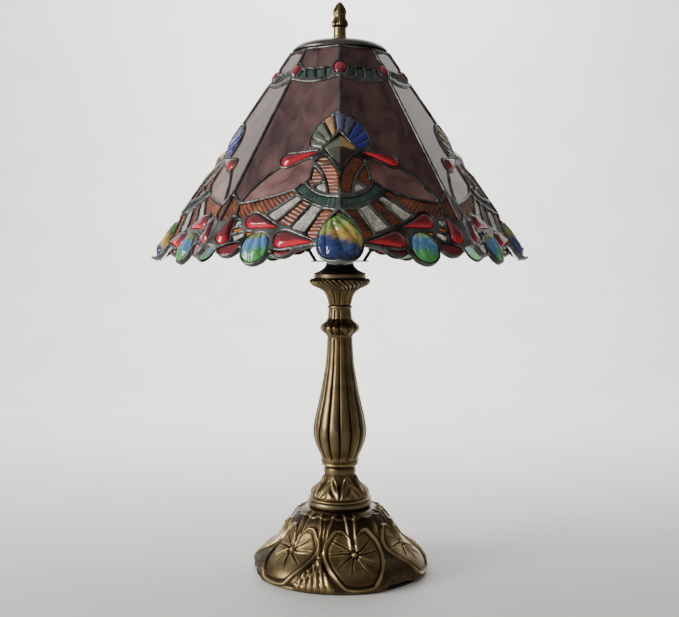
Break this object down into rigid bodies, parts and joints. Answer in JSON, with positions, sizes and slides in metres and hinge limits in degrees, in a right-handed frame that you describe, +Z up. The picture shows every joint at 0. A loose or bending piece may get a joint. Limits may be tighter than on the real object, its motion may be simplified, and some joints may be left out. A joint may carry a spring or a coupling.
{
  "type": "leaded glass table lamp",
  "caption": "Table lamp with an eight-panel leaded-glass shade set with pressed jewels, a cap and finial, a harp and bulb socket, and a fluted post on a cast lily-pad foot.",
  "frame": {"origin": "on the surface the lamp stands on, under the middle of the foot", "axes": "+Z up the post; -Y is the front, where a sharp ridge of the shade faces; +X to the right"},
  "size_m": [0.4072, 0.4072, 0.61],
  "materials": {
    "bronze": "antique bronze plating over cast metal, dark in the recesses",
    "black_metal": "oil-rubbed black",
    "finial_brass": "antique brass",
    "steel": "zinc plated",
    "felt": "green felt",
    "black_plastic": "matt black phenolic",
    "socket_brass": "bright brass plate",
    "bulb_cap": "bare aluminium",
    "bulb_glass": "frosted",
    "lead": "patinated tin-lead solder",
    "mauve_glass": "streaky opalescent",
    "green_ripple_glass": "rippled",
    "amber_ripple_glass": "rippled amber brown",
    "orange_glass": "amber",
    "clear_ripple_glass": "hammered clear",
    "red_jewel": "pressed ruby glass",
    "leaf_jewel": "pressed iridescent green, amber and blue",
    "smoke_jewel": "pressed smoky glass",
    "olive_glass": "olive clear",
    "blue_glass": "cobalt blue"
  },
  "bodies": {
    "root": {"base_foot": "bronze", "foot_felt": "felt", "cord_bushing": "black_plastic", "centre_rod": "steel", "rod_washer": "steel", "lock_washer": "steel", "rod_nut": "steel", "collar_ring": "bronze", "stem_bell": "bronze", "column_vase": "bronze", "column_knop": "bronze", "neck_ring": "bronze", "crown_cup": "bronze", "crown_band": "bronze", "cone_cover": "black_metal", "harp_saddle": "black_metal", "harp_loop": "black_metal", "harp_seat": "finial_brass", "socket_cap": "socket_brass", "socket_body": "black_plastic", "socket_shell": "socket_brass", "socket_sleeve": "black_plastic", "socket_screw_shell": "socket_brass", "socket_contact": "socket_brass"},
    "shade": {"came_corner_1": "lead", "came_corner_2": "lead", "came_corner_3": "lead", "came_corner_4": "lead", "top_glass": "mauve_glass", "band_beads": "green_ripple_glass", "main_glass": "mauve_glass", "wing_glass": "mauve_glass", "beak_glass": "amber_ripple_glass", "crescent_glass": "green_ripple_glass", "amber_ray_glass": "amber_ripple_glass", "clear_glass": "clear_ripple_glass", "kite_glass": "amber_ripple_glass", "amber_strip_glass": "orange_glass", "red_border_glass": "red_jewel", "eye_drops": "red_jewel", "border_drops": "red_jewel", "leaf_jewels": "leaf_jewel", "pyramid_jewels": "smoke_jewel", "shield_jewels": "leaf_jewel", "ridge_cabochons": "red_jewel", "fan_ribs_olive": "olive_glass", "fan_rib_amber": "orange_glass", "fan_ribs_smoke": "smoke_jewel", "fan_ribs_blue": "blue_glass", "vase_cap": "bronze", "cap_washer": "finial_brass"},
    "finial_carrier": {"finial_insert": "finial_brass"},
    "finial_body": {"finial": "finial_brass"},
    "bulb_carrier": {"bulb_contact": "socket_brass"},
    "bulb": {"bulb_screw_cap": "bulb_cap", "bulb_glass": "bulb_glass", "bulb_stem": "bulb_glass"},
    "switch": {"switch_knob": "black_plastic"},
    "ferrule_left": {"harp_ferrule_left": "black_metal"},
    "ferrule_right": {"harp_ferrule_right": "black_metal"}
  },
  "joints": [
    {"name": "shade_turn", "type": "hinge", "parent": "root", "child": "shade", "pos_m": [0, 0, 0.5668], "axis": [0, 0, 1], "continuous": true},
    {"name": "finial_turn", "type": "hinge", "parent": "finial_carrier", "child": "finial_body", "pos_m": [0, 0, 0.58], "axis": [0, 0, 1], "range_deg": [0, 3602]},
    {"name": "finial_rise", "type": "slide", "parent": "root", "child": "finial_carrier", "axis": [0, 0, 1], "range_m": [0, 0.00941]},
    {"name": "switch_turn", "type": "hinge", "parent": "root", "child": "switch", "pos_m": [0, 0.02, 0.3538], "axis": [0, 1, 0], "continuous": true},
    {"name": "bulb_turn", "type": "hinge", "parent": "bulb_carrier", "child": "bulb", "pos_m": [0, 0, 0.38], "axis": [0, 0, 1], "range_deg": [0, 1802]},
    {"name": "bulb_rise", "type": "slide", "parent": "root", "child": "bulb_carrier", "axis": [0, 0, 1], "range_m": [0, 0.01814]},
    {"name": "ferrule_left_slide", "type": "slide", "parent": "root", "child": "ferrule_left", "axis": [-0.5299, 0, 0.848], "range_m": [0, 0.012]},
    {"name": "ferrule_right_slide", "type": "slide", "parent": "root", "child": "ferrule_right", "axis": [0.5299, 0, 0.848], "range_m": [0, 0.012]}
  ],
  "couplings": [
    {"joint": "finial_turn", "follows": "finial_rise", "rad_per_m": 6679},
    {"joint": "bulb_turn", "follows": "bulb_rise", "rad_per_m": 1731.6}
  ]
}
